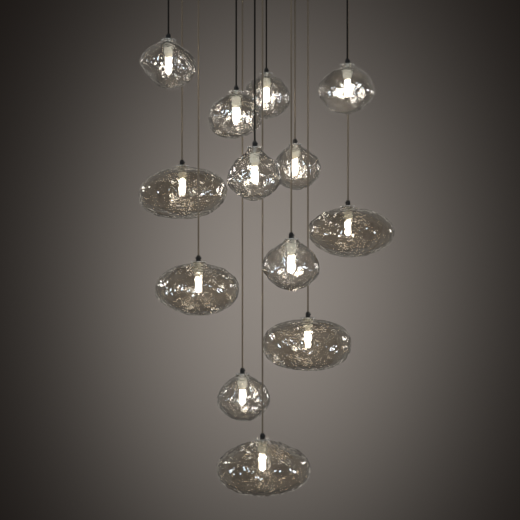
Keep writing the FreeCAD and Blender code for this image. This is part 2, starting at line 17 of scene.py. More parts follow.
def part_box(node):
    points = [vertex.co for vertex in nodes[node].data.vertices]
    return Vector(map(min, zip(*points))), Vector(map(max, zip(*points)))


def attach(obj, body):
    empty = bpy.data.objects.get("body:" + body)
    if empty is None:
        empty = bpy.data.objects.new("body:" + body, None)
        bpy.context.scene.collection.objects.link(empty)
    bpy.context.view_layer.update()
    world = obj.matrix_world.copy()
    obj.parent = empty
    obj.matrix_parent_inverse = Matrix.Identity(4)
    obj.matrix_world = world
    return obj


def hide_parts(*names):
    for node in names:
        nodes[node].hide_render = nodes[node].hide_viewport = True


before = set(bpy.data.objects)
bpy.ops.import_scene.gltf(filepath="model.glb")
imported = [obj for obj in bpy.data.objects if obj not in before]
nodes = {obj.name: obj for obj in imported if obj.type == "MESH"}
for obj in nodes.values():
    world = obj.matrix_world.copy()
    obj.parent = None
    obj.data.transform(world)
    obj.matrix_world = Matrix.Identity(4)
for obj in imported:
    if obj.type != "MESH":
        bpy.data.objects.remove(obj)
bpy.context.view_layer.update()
scene = bpy.context.scene

# %% [markdown]
# The camera stands level, in front of the middle of the cluster. Its lens is long, so the globes at the back
# are nearly as large as those at the front. The canopy is above the picture, as it is in the photograph.

# %% Camera
PICTURE_WIDTH = 520  # pixels
FOCAL_LENGTH = 1034  # pixels
CAMERA_PLACE = (0, -3.015, -0.915)

lens = bpy.data.cameras.new("front_view")
lens.sensor_width = 36
lens.lens = lens.sensor_width * FOCAL_LENGTH / PICTURE_WIDTH
lens.clip_end = 30
camera = bpy.data.objects.new("front_view", lens)
camera.location = CAMERA_PLACE
camera.rotation_euler = (math.radians(90), 0, 0)
scene.collection.objects.link(camera)
scene.camera = camera
scene.view_settings.view_transform = "Standard"
print("camera at", tuple(camera.location))

# %% [markdown]
# The pendants differ in place, height and glass. The table gives each one's axis in plan, the depth of its
# glass rim below the ceiling and the length of its cord, as they are in the CAD model, and whether its glass
# is smoked.

# %% The thirteen pendants
Pendant = namedtuple("Pendant", "x y rim_depth cord_length smoked")
PENDANTS = {name: Pendant(*row) for name, row in {
    "a": (-0.255, -0.135, 0.304, 0.266, False),
    "b": (-0.068, -0.055, 0.435, 0.395, False),
    "c": (0.020, 0.235, 0.331, 0.291, False),
    "d": (0.250, -0.055, 0.358, 0.318, False),
    "e": (-0.233, 0.075, 0.635, 0.592, True),
    "f": (-0.014, -0.245, 0.615, 0.579, False),
    "g": (0.111, 0.265, 0.550, 0.511, False),
    "h": (0.264, 0.085, 0.755, 0.713, True),
    "i": (-0.175, -0.075, 0.921, 0.878, True),
    "j": (0.085, -0.205, 0.859, 0.819, False),
    "k": (0.140, 0.005, 1.085, 1.041, True),
    "l": (-0.052, 0.045, 1.253, 1.213, False),
    "m": (0.007, -0.125, 1.418, 1.376, True),
}.items()}
CORD_D = 0.005
CORD_TOP = -0.059  # inside the mouth of the canopy's grip, where the cord swings
print("pendants:", len(PENDANTS), "with smoked glass:", sum(hung.smoked for hung in PENDANTS.values()))

# %% [markdown]
# Nodes are made the same way in geometry trees and in materials, so the same small helpers serve both: they
# add a node and fill or link its inputs, add one step of a Math node, and make a group with named inputs and
# outputs.

# %% Helpers for node trees
def add(tree, kind, inputs=None, **settings):
    """A new node. Each input is a value or another node's output socket."""
    node = tree.nodes.new(kind)
    for name, value in settings.items():
        setattr(node, name, value)
    for key, value in (inputs or {}).items():
        if isinstance(value, bpy.types.NodeSocket):
            tree.links.new(value, node.inputs[key])
        else:
            node.inputs[key].default_value = value
    return node


def calc(tree, operation, *terms):
    """The output of one Math node."""
    return add(tree, "ShaderNodeMath", dict(enumerate(terms)), operation=operation).outputs[0]


def new_tree(name, kind, inputs, outputs):
    """A node group with named sockets: (name, socket type, value or None)."""
    tree = bpy.data.node_groups.new(name, kind)
    for label, socket, value in inputs:
        made = tree.interface.new_socket(label, in_out="INPUT", socket_type="NodeSocket" + socket)
        if value is not None:
            made.default_value = value
    for label, socket in outputs:
        tree.interface.new_socket(label, in_out="OUTPUT", socket_type="NodeSocket" + socket)
    return tree, tree.nodes.new("NodeGroupInput"), tree.nodes.new("NodeGroupOutput")


def smooth(tree, geometry):
    return add(tree, "GeometryNodeSetShadeSmooth", {"Geometry": geometry, "Shade Smooth": True}).outputs[0]


def give_out(tree, made, geometry, material):
    """Ends a geometry tree: plain geometry that carries its material."""
    real = add(tree, "GeometryNodeRealizeInstances", {"Geometry": geometry}).outputs[0]
    dressed = add(tree, "GeometryNodeSetMaterial", {"Geometry": real, "Material": material})
    tree.links.new(dressed.outputs[0], made.inputs["Geometry"])


def grow(obj, tree, **values):
    """The mesh that a geometry tree makes of an object, with the tree's inputs given by name."""
    modifier = obj.modifiers.new(tree.name, "NODES")
    modifier.node_group = tree
    for item in tree.interface.items_tree:
        if item.in_out == "INPUT" and item.name in values:
            modifier[item.identifier] = values[item.name]
    seen = obj.evaluated_get(bpy.context.evaluated_depsgraph_get())
    mesh = bpy.data.meshes.new_from_object(seen)
    obj.modifiers.remove(modifier)
    return mesh


def new_object(name, mesh):
    obj = bpy.data.objects.new(name, mesh)
    scene.collection.objects.link(obj)
    return obj


print("helpers ready")

# %% [markdown]
# The surfaces share a few effects. Each is one node group that gives only masks, colours and bump heights: a
# fine grain for cast, painted and moulded faces, long scratches for plated steel, and dust that lies on what
# faces up. The braid of a textile cord follows the cord, so it reads two attributes that the cord's mesh
# carries.

# %% Shared effects
def fine_grain():
    tree, given, made = new_tree(
        "fine_grain", "ShaderNodeTree",
        [("Grain per metre", "Float", 900.0), ("Patches per metre", "Float", 30.0)],
        [("Grain", "Float"), ("Patches", "Float")],
    )
    place = add(tree, "ShaderNodeTexCoord").outputs["Object"]
    grain = add(tree, "ShaderNodeTexNoise",
                {"Vector": place, "Scale": given.outputs["Grain per metre"], "Detail": 3.0})
    patches = add(tree, "ShaderNodeTexNoise",
                  {"Vector": place, "Scale": given.outputs["Patches per metre"], "Detail": 2.0})
    tree.links.new(grain.outputs["Fac"], made.inputs["Grain"])
    tree.links.new(patches.outputs["Fac"], made.inputs["Patches"])
    return tree


def scratches():
    tree, given, made = new_tree(
        "scratches", "ShaderNodeTree",
        [("Lines per metre", "Float", 400.0), ("Share", "Float", 0.06)], [("Lines", "Float")],
    )
    place = add(tree, "ShaderNodeTexCoord").outputs["Object"]
    total = None
    for turn in (0.3, 1.4, 2.5):
        laid = add(tree, "ShaderNodeMapping", {"Vector": place, "Rotation": (turn, turn * 0.7, turn),
                                               "Scale": (1.0, 0.06, 0.3)}).outputs[0]
        noise = add(tree, "ShaderNodeTexNoise",
                    {"Vector": laid, "Scale": given.outputs["Lines per metre"], "Detail": 1.0}).outputs["Fac"]
        near = calc(tree, "ABSOLUTE", calc(tree, "SUBTRACT", noise, 0.5))
        line = calc(tree, "LESS_THAN", near, calc(tree, "MULTIPLY", given.outputs["Share"], 0.1))
        total = line if total is None else calc(tree, "MAXIMUM", total, line)
    tree.links.new(total, made.inputs["Lines"])
    return tree


def dust():
    tree, given, made = new_tree(
        "dust", "ShaderNodeTree", [("Amount", "Float", 0.3)], [("Dust", "Float")])
    facing = add(tree, "ShaderNodeSeparateXYZ",
                 {0: add(tree, "ShaderNodeTexCoord").outputs["Normal"]}).outputs["Z"]
    up = add(tree, "ShaderNodeMapRange", {"Value": facing, "From Min": 0.3, "From Max": 1.0}).outputs[0]
    place = add(tree, "ShaderNodeTexCoord").outputs["Object"]
    spots = add(tree, "ShaderNodeTexNoise", {"Vector": place, "Scale": 120.0, "Detail": 6.0}).outputs["Fac"]
    laid = calc(tree, "MULTIPLY", calc(tree, "MULTIPLY", up, spots), given.outputs["Amount"])
    tree.links.new(laid, made.inputs["Dust"])
    return tree


def braid():
    """Two sets of yarns wound round the cord, over and under each other."""
    tree, given, made = new_tree(
        "braid", "ShaderNodeTree",
        [("Yarns around", "Float", 12.0), ("Crossings per metre", "Float", 420.0)],
        [("Height", "Float"), ("Under", "Float"), ("Fibre", "Float")],
    )
    around = add(tree, "ShaderNodeSeparateXYZ",
                 {0: add(tree, "ShaderNodeAttribute", attribute_name="around").outputs["Vector"]}).outputs
    along = add(tree, "ShaderNodeAttribute", attribute_name="along").outputs["Fac"]
    turn = calc(tree, "ARCTAN2", around["Y"], around["X"])
    wind = calc(tree, "MULTIPLY", turn, calc(tree, "MULTIPLY", given.outputs["Yarns around"], 0.5))
    rise = calc(tree, "MULTIPLY", along,
                calc(tree, "MULTIPLY", given.outputs["Crossings per metre"], math.pi))
    left = calc(tree, "SINE", calc(tree, "ADD", rise, wind))
    right = calc(tree, "SINE", calc(tree, "SUBTRACT", rise, wind))
    height = calc(tree, "MAXIMUM", calc(tree, "ABSOLUTE", left), calc(tree, "ABSOLUTE", right))
    under = calc(tree, "LESS_THAN", calc(tree, "MULTIPLY", left, right), 0.0)
    place = add(tree, "ShaderNodeMapping", {"Vector": add(tree, "ShaderNodeTexCoord").outputs["Object"],
                                            "Scale": (1.0, 1.0, 0.25)}).outputs[0]
    fibre = add(tree, "ShaderNodeTexNoise", {"Vector": place, "Scale": 5000.0, "Detail": 2.0}).outputs["Fac"]
    for name, socket in (("Height", height), ("Under", under), ("Fibre", fibre)):
        tree.links.new(socket, made.inputs[name])
    return tree


EFFECTS = {made.name: made for made in (fine_grain(), scratches(), dust(), braid())}
print("effects:", ", ".join(EFFECTS))

# %% [markdown]
# A finish starts as a Principled shader with its plain values on its own sockets. Colour, roughness and bump
# are then linked where they change over the surface.

# %% Helpers for finishes
def finish(name, colour, roughness, **plain):
    """A material, its tree and its Principled shader, with the constant values set on the shader itself."""
    material = bpy.data.materials.new(name)
    material.use_nodes = True
    tree = material.node_tree
    shader = tree.nodes["Principled BSDF"]
    shader.inputs["Base Color"].default_value = (*colour, 1)
    shader.inputs["Roughness"].default_value = roughness
    for key, value in plain.items():
        shader.inputs[key.replace("_", " ")].default_value = value
    return material, tree, shader


def effect(tree, name, **values):
    node = tree.nodes.new("ShaderNodeGroup")
    node.node_tree = EFFECTS[name]
    for key, value in values.items():
        node.inputs[key.replace("_", " ")].default_value = value
    return node.outputs


def blend_colours(tree, share, first, second):
    node = add(tree, "ShaderNodeMix", {"Factor": share}, data_type="RGBA")
    for key, value in (("A_Color", first), ("B_Color", second)):
        socket = next(each for each in node.inputs if each.identifier == key)
        if isinstance(value, bpy.types.NodeSocket):
            tree.links.new(value, socket)
        else:
            socket.default_value = (*value, 1)
    return next(each for each in node.outputs if each.identifier == "Result_Color")


def spread(tree, value, low, high):
    """A value that runs from 0 to 1, mapped to run from low to high."""
    return add(tree, "ShaderNodeMapRange", {"Value": value, "To Min": low, "To Max": high}).outputs[0]


def bump(tree, shader, height, depth, strength=0.6):
    node = add(tree, "ShaderNodeBump", {"Height": height, "Distance": depth, "Strength": strength})
    tree.links.new(node.outputs[0], shader.inputs["Normal"])


def connect(tree, shader, **links):
    for key, socket in links.items():
        tree.links.new(socket, shader.inputs[key.replace("_", " ")])


def let_shadow_rays_through(tree, shader, tint):
    passing = add(tree, "ShaderNodeBsdfTransparent", {"Color": (*tint, 1)})
    shadow = add(tree, "ShaderNodeLightPath").outputs["Is Shadow Ray"]
    mixed = add(tree, "ShaderNodeMixShader", {0: shadow, 1: shader.outputs[0], 2: passing.outputs[0]})
    tree.links.new(mixed.outputs[0], tree.nodes["Material Output"].inputs["Surface"])


print("finish helpers ready")

# %% [markdown]
# The cords are textile cable, 5 mm across. A braid of yarn covers the wires, so it is dull, slightly hairy
# and shows a fine diamond pattern, with painted shade where the yarns dip. All the cords are one brown textile.
# The five highest pendants' cords get a nearly black copy of it, which is painted shade for their unlit side.

# %% Textile of the cords
def cord_textile(name, dull, bright):
    material, tree, shader = finish(name, dull, 0.85, Sheen_Weight=0.04, Sheen_Roughness=0.4,
                                    Specular_IOR_Level=0.2)
    woven = effect(tree, "braid")
    yarn = blend_colours(tree, woven["Fibre"], dull, bright)
    # Painted shade: the yarn colour is darkened where the braid dips between its yarns.
    shade = calc(tree, "MULTIPLY", spread(tree, woven["Height"], 0.75, 0.0), 0.8)
    crevice_shaded = blend_colours(tree, shade, yarn, tuple(c * 0.4 for c in dull))
    connect(tree, shader, Base_Color=crevice_shaded, Roughness=spread(tree, woven["Fibre"], 0.7, 0.95))
    height = calc(tree, "ADD", woven["Height"], calc(tree, "MULTIPLY", woven["Fibre"], 0.25))
    bump(tree, shader, height, 0.0004)
    return material


# Painted shade: the shaded textile is a nearly black copy of the brown cord, for cords whose side towards the
# camera is unlit.
SHADED_TEXTILE = cord_textile("shaded_textile", (0.004, 0.003, 0.002), (0.012, 0.009, 0.006))
BROWN_TEXTILE = cord_textile("brown_textile", (0.065, 0.052, 0.038), (0.140, 0.115, 0.085))
SHADED_CORDS = "abcdf"
print("finishes:", SHADED_TEXTILE.name, BROWN_TEXTILE.name)

# %% [markdown]
# A cord is a tube along a spline. The route's points go to a NURBS curve, and the curve without a bevel gives
# the centreline. Geometry Nodes then lay a round tube along it and keep, for each point, how far along the
# cord it is and which way round it faces. The braid reads both.

# %% Geometry tree for a cord
def cord_tree():
    tree, given, made = new_tree(
        "textile_cord", "GeometryNodeTree",
        [("Geometry", "Geometry", None), ("Diameter", "Float", CORD_D), ("Step", "Float", 0.008),
         ("Sides", "Int", 20), ("Textile", "Material", None)],
        [("Geometry", "Geometry")],
    )
    line = add(tree, "GeometryNodeMeshToCurve", {"Mesh": given.outputs["Geometry"]}).outputs[0]
    even = add(tree, "GeometryNodeResampleCurve", {"Curve": line, "Length": given.outputs["Step"]},
               mode="LENGTH")
    along = add(tree, "GeometryNodeStoreNamedAttribute", {
        "Geometry": even.outputs[0], "Name": "along",
        "Value": add(tree, "GeometryNodeSplineParameter").outputs["Length"],
    }, data_type="FLOAT", domain="POINT")
    radius = calc(tree, "MULTIPLY", given.outputs["Diameter"], 0.5)
    ring = add(tree, "GeometryNodeCurvePrimitiveCircle",
               {"Resolution": given.outputs["Sides"], "Radius": radius})
    around = add(tree, "GeometryNodeStoreNamedAttribute", {
        "Geometry": ring.outputs[0], "Name": "around",
        "Value": add(tree, "ShaderNodeVectorMath", {0: add(tree, "GeometryNodeInputPosition").outputs[0]},
                     operation="NORMALIZE").outputs[0],
    }, data_type="FLOAT_VECTOR", domain="POINT")
    tube = add(tree, "GeometryNodeCurveToMesh", {
        "Curve": along.outputs[0], "Profile Curve": around.outputs[0], "Fill Caps": True}).outputs[0]
    give_out(tree, made, smooth(tree, tube), given.outputs["Textile"])
    return tree


CORD_TREE = cord_tree()
print("geometry tree:", CORD_TREE.name)

# %% From a route to a cord
def centreline(name, route):
    """The mesh line and the points of an open NURBS spline, controlled by the route's points."""
    curve = bpy.data.curves.new(name + "_line", "CURVE")
    curve.dimensions = "3D"
    spline = curve.splines.new("NURBS")
    spline.points.add(len(route) - 1)
    for point, place in zip(spline.points, route):
        point.co = (*place, 1)
    spline.order_u = 3
    spline.use_endpoint_u = True
    spline.resolution_u = 12
    holder = new_object(name + "_line", curve)
    bpy.context.view_layer.update()
    mesh = bpy.data.meshes.new_from_object(holder)
    bpy.data.objects.remove(holder)
    return mesh, [tuple(vertex.co) for vertex in mesh.vertices]


def textile_of(pendant):
    return SHADED_TEXTILE if pendant in SHADED_CORDS else BROWN_TEXTILE


def lay_cord(name, route, textile, replaced, body):
    """One cord along its route."""
    line, points = centreline(name, route)
    holder = new_object(name + "_holder", line)
    tube = new_object(name, grow(holder, CORD_TREE, Textile=textile))
    bpy.data.objects.remove(holder)
    length = sum((Vector(a) - Vector(b)).length for a, b in zip(points, points[1:]))
    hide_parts(replaced)
    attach(tube, body)
    return length


print("cord maker ready")

# %% [markdown]
# Each pendant hangs straight from its grip, so its route is a plumb line from the grip's mouth to the chamber
# of the lamp holder. Inside the canopy, the other end rises through the grip, bends, and runs level to the
# junction box. The outer cords run just under the ceiling, and the inner ones below them.

# %% The hanging cords
total = 0
for pendant, hung in PENDANTS.items():
    route = [(hung.x, hung.y, CORD_TOP - hung.cord_length * third / 3) for third in range(4)]
    total += lay_cord("hanging_cord_" + pendant, route, textile_of(pendant), "cord_" + pendant,
                      "pendant_" + pendant)
print(f"hanging cords: {total:.2f} m")

# %% The cords inside the canopy
OUTER_CORDS_FROM = 0.200  # from the canopy's middle
HIGH_ROUTE, LOW_ROUTE = -0.012, -0.025
CORD_END = 0.026  # from the canopy's middle, inside the box
INNER_CORD_START = CORD_TOP + 0.0008
STRAIGHT_IN_GRIP = 0.0025
BEND_REACH = 0.9  # of its rise

total = 0
for pendant, hung in PENDANTS.items():
    out = math.hypot(hung.x, hung.y)
    level = HIGH_ROUTE if out > OUTER_CORDS_FROM else LOW_ROUTE
    bent = out - (level - INNER_CORD_START) * BEND_REACH
    radial = [(out, INNER_CORD_START), (out, INNER_CORD_START + STRAIGHT_IN_GRIP), (out, level),
              (bent, level), (CORD_END, level)]
    route = [(r * hung.x / out, r * hung.y / out, z) for r, z in radial]
    total += lay_cord("inner_cord_" + pendant, route, textile_of(pendant), "inner_cords", "ceiling_canopy")
print(f"cords in the canopy: {total:.2f} m")

# %% [markdown]
# The globes are the heart of the lamp. Real ones are blown, then pressed and pulled while hot, which leaves
# flats, folds and ripples that throw the light about. The CAD solids hold the flats. Here each globe gets a
# fine grid of quads, by shooting rays from its middle at both faces of the CAD glass, because light that is
# bent by a coarse mesh shows every triangle. The neck's rim keeps the size that the cap sits on.

# %% A grid on both faces of the glass
NECK_R = 0.019
GLASS_T = 0.003
OUTER, INNER = 0, 1
# Angles below the neck's edge, in radians: close rows on the neck, then even ones; where the fuller form
# starts, and over how much it grows; where the glass starts to be free to fold, and over how much it gets so.
NECK_ROWS = (0.006, 0.018, 0.034)
BELOW_NECK = 0.05
SWELL_FROM, SWELL_OVER = 0.1, 0.6
FOLDS_FROM, FOLDS_OVER = 0.05, 0.16


def softened(reach, free, passes=2):
    """The reaches with the mesh's own small steps averaged out, where the glass is free from the neck."""
    for _ in range(passes):
        mean = reach / 2 + (np.roll(reach, 1, 1) + np.roll(reach, -1, 1)) / 4
        mean[1:-1] = mean[1:-1] / 2 + (mean[:-2] + mean[2:]) / 4
        reach = reach + (mean - reach) * free[:, None]
    return reach


def ellipsoid_reach(middle, way, centre, halves):
    """How far it is from a point inside an ellipsoid to its surface, one way."""
    start = [(m - c) / h for m, c, h in zip(middle, centre, halves)]
    step = [w / h for w, h in zip(way, halves)]
    a = sum(t * t for t in step)
    b = sum(t * u for t, u in zip(start, step))
    c = sum(t * t for t in start) - 1
    return (math.sqrt(b * b - a * c) - b) / a


def way_at(down, turn):
    """The direction at an angle down from straight up and a turn round the axis."""
    return Vector((math.sin(down) * math.cos(turn), math.sin(down) * math.sin(turn), math.cos(down)))


def wall_reach(tree, middle, downs, turns, wall, swell, centre, halves):
    """How far one face of the wall lies from the middle, for each direction, made fuller by its swell."""
    reach = np.empty((len(downs), len(turns)))
    for row, down in enumerate(downs):
        for column, turn in enumerate(turns):
            way = way_at(down, turn)
            hit = tree.ray_cast(middle, way)[0]
            if wall == OUTER:  # the first hit is the inner face, so the ray goes on from just past it
                hit = tree.ray_cast(hit + way * GLASS_T / 6, way)[0] or hit
            reach[row, column] = (hit - middle).length
            if swell[row]:
                fuller = ellipsoid_reach(middle, way, centre, halves)
                reach[row, column] += max(fuller - reach[row, column], 0) * swell[row]
    return reach


def wall_faces(start, around, rows, wall):
    """Quads from the rim to the last ring and a fan that closes the bottom, numbered from the wall's start."""
    faces = []
    for row in range(rows):
        for column in range(around):
            here = start + row * around + column
            beside = start + row * around + (column + 1) % around
            faces.append((here, here + around, beside + around, beside))
    last = start + rows * around
    faces += [(last + column, last + around, last + (column + 1) % around) for column in range(around)]
    return faces if wall == OUTER else [face[::-1] for face in faces]


def blown_shell(node, hung, around, rings, fullness):
    """A closed glass wall of quads on the CAD node's outer and inner faces. Below its shoulders the hot glass
    is a little fuller than the CAD's flats, by a share of the way to the ellipsoid that fills the node's box."""
    low, high = (Vector(corner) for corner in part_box(node.name))
    tree = BVHTree.FromPolygons([vertex.co for vertex in node.data.vertices],
                                [face.vertices for face in node.data.polygons])
    rim = -hung.rim_depth
    middle = Vector((hung.x, hung.y, (rim + low.z) / 2))
    half = rim - middle.z
    centre = ((low.x + high.x) / 2, (low.y + high.y) / 2, middle.z)
    vertices, faces, walls, frees, starts = [], [], [], [], []
    turns = np.arange(around) * 2 * math.pi / around
    for wall, neck_r in ((OUTER, NECK_R), (INNER, NECK_R - GLASS_T)):
        first = math.atan2(neck_r, half)
        downs = first + np.concatenate([NECK_ROWS, np.linspace(BELOW_NECK, math.pi - first, rings)[:-1]])
        swell = fullness * np.clip((downs - first - SWELL_FROM) / SWELL_OVER, 0, 1)
        free = np.clip((downs - first - FOLDS_FROM) / FOLDS_OVER, 0, 1)
        halves = [h / 2 - wall * GLASS_T for h in (high.x - low.x, high.y - low.y, 2 * half)]
        reach = softened(wall_reach(tree, middle, downs, turns, wall, swell, centre, halves), free)
        starts.append(len(vertices))
        vertices += [(hung.x + neck_r * math.cos(turn), hung.y + neck_r * math.sin(turn), rim)
                     for turn in turns]
        for down, ring in zip(downs, reach):
            for turn, r in zip(turns, ring):
                out = r * math.sin(down)
                vertices.append((hung.x + out * math.cos(turn), hung.y + out * math.sin(turn),
                                 middle.z + r * math.cos(down)))
        vertices.append((hung.x, hung.y, middle.z - reach[-1].mean()))
        walls += [float(wall)] * (len(vertices) - starts[-1])
        frees += [0.0] * around + list(np.repeat(free, around)) + [1.0]
        faces += wall_faces(starts[-1], around, len(downs), wall)
    outer, inner = starts
    for column in range(around):
        beside = (column + 1) % around
        faces.append((outer + column, outer + beside, inner + beside, inner + column))
    shell = bpy.data.meshes.new("shell")
    shell.from_pydata(vertices, [], faces)
    shell.attributes.new("wall", "FLOAT", "POINT").data.foreach_set("value", walls)
    shell.attributes.new("free", "FLOAT", "POINT").data.foreach_set("value", frees)
    return shell


print("glass grid ready")

# %% [markdown]
# Folds and ripples follow a rule, so Geometry Nodes make them. Voronoi cells press shallow hollows with soft
# ridges between them, and finer noise lays ripples over them. Both faces of the wall move together there, so
# a lamp still shows whole through the glass, while its reflections break up into sparks and streaks. A little
# more noise moves each face on its own, like a weak lens. A fixed seed gives each globe its own pattern. The
# moves go inwards by a few millimetres and outwards by one or two, less and less towards the neck, which
# keeps its size.

# %% Geometry tree for the ripples
def ripple_tree():
    tree, given, made = new_tree(
        "blown_ripples", "GeometryNodeTree",
        [("Geometry", "Geometry", None), ("Fold depth", "Float", 0.002), ("Fold size", "Float", 0.03),
         ("Ripple depth", "Float", 0.001), ("Ripple size", "Float", 0.012), ("Lens depth", "Float", 0.0005),
         ("Lens size", "Float", 0.02), ("Lift", "Float", 0.002), ("Stretch", "Vector", (1, 1, 1)),
         ("Seed", "Float", 1.0), ("Glass", "Material", None)],
        [("Geometry", "Geometry")],
    )
    value = given.outputs
    wall = add(tree, "GeometryNodeInputNamedAttribute", {"Name": "wall"}, data_type="FLOAT").outputs[0]
    free = add(tree, "GeometryNodeInputNamedAttribute", {"Name": "free"}, data_type="FLOAT").outputs[0]
    facing = add(tree, "GeometryNodeInputNormal").outputs[0]
    to_outer_face = add(tree, "ShaderNodeVectorMath",
                        {0: facing, "Scale": calc(tree, "MULTIPLY", wall, -GLASS_T)},
                        operation="SCALE").outputs[0]
    place = add(tree, "ShaderNodeVectorMath", {0: add(tree, "GeometryNodeInputPosition").outputs[0],
                                               1: to_outer_face}, operation="ADD").outputs[0]
    place = add(tree, "ShaderNodeVectorMath", {0: place, 1: value["Stretch"]},
                operation="MULTIPLY").outputs[0]
    cells = add(tree, "ShaderNodeTexVoronoi", {
        "Vector": place, "W": value["Seed"], "Scale": calc(tree, "DIVIDE", 1.0, value["Fold size"]),
        "Smoothness": 0.25}, voronoi_dimensions="4D", feature="SMOOTH_F1").outputs["Distance"]
    hollow = calc(tree, "SUBTRACT", 1.0, calc(tree, "MINIMUM", calc(tree, "MULTIPLY", cells, 1.3), 1.0))
    fold = calc(tree, "MULTIPLY", hollow, value["Fold depth"])
    wave = add(tree, "ShaderNodeTexNoise", {
        "Vector": place, "W": value["Seed"], "Scale": calc(tree, "DIVIDE", 1.0, value["Ripple size"]),
        "Detail": 1.0, "Distortion": 0.6}, noise_dimensions="4D").outputs[0]
    own_seed = calc(tree, "MULTIPLY_ADD", wall, 7.0, value["Seed"])
    lens = add(tree, "ShaderNodeTexNoise", {
        "Vector": place, "W": own_seed, "Scale": calc(tree, "DIVIDE", 1.0, value["Lens size"]),
        "Detail": 0.0}, noise_dimensions="4D").outputs[0]
    waves = calc(tree, "ADD", calc(tree, "MULTIPLY", wave, value["Ripple depth"]),
                 calc(tree, "MULTIPLY", lens, value["Lens depth"]))
    centred = calc(tree, "SUBTRACT", calc(tree, "ADD", fold, waves), value["Lift"])
    depth = calc(tree, "MULTIPLY", centred, free)
    inward = calc(tree, "MULTIPLY", depth, calc(tree, "MULTIPLY_ADD", wall, 2.0, -1.0))
    shift = add(tree, "ShaderNodeVectorMath", {0: facing, "Scale": inward}, operation="SCALE").outputs[0]
    fine = add(tree, "GeometryNodeSubdivisionSurface", {"Mesh": value["Geometry"], "Level": 1}).outputs[0]
    moved = add(tree, "GeometryNodeSetPosition", {"Geometry": fine, "Offset": shift}).outputs[0]
    give_out(tree, made, smooth(tree, moved), value["Glass"])
    return tree


RIPPLES = ripple_tree()
print("geometry tree:", RIPPLES.name)

# %% [markdown]
# The glass is clear soda glass in the small globes and smoked olive glass in the wide ones. Light crosses
# four faces on its way through a globe, so each crossing takes only a little. A coat that reflects more than
# plain glass makes the sparks bright. Shadow rays go straight through, because a renderer without caustics
# would otherwise leave black shadows behind clear glass.

# %% Glass
def glass(name, tint):
    material, tree, shader = finish(name, tint, 0.0, IOR=1.5, Transmission_Weight=1.0, Coat_Weight=1.0,
                                    Coat_Roughness=0.0, Coat_IOR=2.15)
    let_shadow_rays_through(tree, shader, tint)
    return material


CLEAR_GLASS = glass("clear_glass", (0.94, 0.915, 0.87))
SMOKED_GLASS = glass("smoked_glass", (0.835, 0.79, 0.71))
print("finishes:", CLEAR_GLASS.name, SMOKED_GLASS.name)

# %% The thirteen globes
SMOKED = {
    "slot": "smoked_glass", "glass": SMOKED_GLASS, "grid": (128, 60), "fullness": 0.3,
    "folds": {"Fold depth": 0.0038, "Fold size": 0.042, "Ripple depth": 0.0062, "Ripple size": 0.016,
              "Lift": 0.0044, "Stretch": (1, 1, 1.4)},
}
CLEAR = {
    "slot": "clear_glass", "glass": CLEAR_GLASS, "grid": (100, 54), "fullness": 0.5,
    "folds": {"Fold depth": 0.005, "Fold size": 0.034, "Ripple depth": 0.0052, "Ripple size": 0.014,
              "Lift": 0.0041, "Stretch": (1, 1, 1)},
}
OWN_FULLNESS = {"a": 0.15}

for seed, (pendant, hung) in enumerate(PENDANTS.items()):
    name = "glass_globe_" + pendant
    kind = SMOKED if hung.smoked else CLEAR
    fullness = OWN_FULLNESS.get(pendant, kind["fullness"])
    raw = new_object("raw_glass", blown_shell(nodes[name], hung, *kind["grid"], fullness))
    globe = new_object("blown_globe_" + pendant,
                       grow(raw, RIPPLES, Seed=float(seed), Glass=kind["glass"], **kind["folds"]))
    bpy.data.objects.remove(raw)
    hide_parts(name)
    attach(globe, "pendant_" + pendant)
    print(globe.name, "faces:", len(globe.data.polygons))

# %% [markdown]
# A globe hangs by its neck. A clear disc covers the rim, a black collar with a set screw grips the disc, and
# a hollow steel nipple runs down to a bar that reaches under the neck's shoulders and carries the lamp
# holder. One CAD node holds them all, so each of its solids gets its own finish by its faces' material index.
# The solids are told apart by how far they reach from the pendant's axis and where they lie below the rim.

# %% Telling a node's solids apart
LEVEL_GAP = 1e-5
FLAT = 1e-6


def loose_solids(obj):
    """For each loose solid in a node's mesh: its face numbers and its corner points."""
    mesh = obj.data
    places = np.empty(len(mesh.vertices) * 3)
    mesh.vertices.foreach_get("co", places)
    _, same = np.unique(places.reshape(-1, 3).round(7), axis=0, return_inverse=True)
    same = same.reshape(-1)
    corners = np.array([face.vertices for face in mesh.polygons])
    merged = same[corners]
    label = np.arange(same.max() + 1)
    while True:
        low = label[merged].min(axis=1)
        before = label.copy()
        for side in range(3):
            np.minimum.at(label, merged[:, side], low)
        label = label[label]
        if (label == before).all():
            break
    owner = label[merged[:, 0]]
    return [(np.nonzero(owner == one)[0], places.reshape(-1, 3)[np.unique(corners[owner == one])])
            for one in np.unique(owner)]


def dress_solids(obj, kinds, kind_of):
    """Gives each solid of a node the finish that kind_of picks for its points."""
    obj.data.materials.clear()
    for material in kinds.values():
        obj.data.materials.append(material)
    numbers = np.zeros(len(obj.data.polygons), np.int32)
    found = []
    for faces, points in loose_solids(obj):
        kind = kind_of(points)
        numbers[faces] = list(kinds).index(kind)
        found.append(kind)
    obj.data.polygons.foreach_set("material_index", numbers)
    return found


def split_at(obj, level, lower, upper):
    """Two solids that touch at a level come in as one. Faces above it change from the lower to the upper
    finish. A flat face on the level belongs above if it looks down."""
    mesh = obj.data
    heights = np.array([[mesh.vertices[corner].co.z for corner in face.vertices] for face in mesh.polygons])
    looks_down = np.array([face.normal.z < 0 for face in mesh.polygons])
    low, high = heights.min(axis=1), heights.max(axis=1)
    on_level = (high - low < FLAT) & (abs(low - level) < LEVEL_GAP)
    above = np.where(on_level, looks_down, low > level - LEVEL_GAP)
    numbers = np.zeros(len(mesh.polygons), np.int32)
    mesh.polygons.foreach_get("material_index", numbers)
    numbers[above & (numbers == lower)] = upper
    mesh.polygons.foreach_set("material_index", numbers)


print("solid finder ready")

# %% [markdown]
# Small metal parts are either blackened and satin, or plated bright. The lamp holder is glazed white ceramic,
# a little cream, with fine pits in its glaze. Its ribs keep it cool and let fingers turn it.

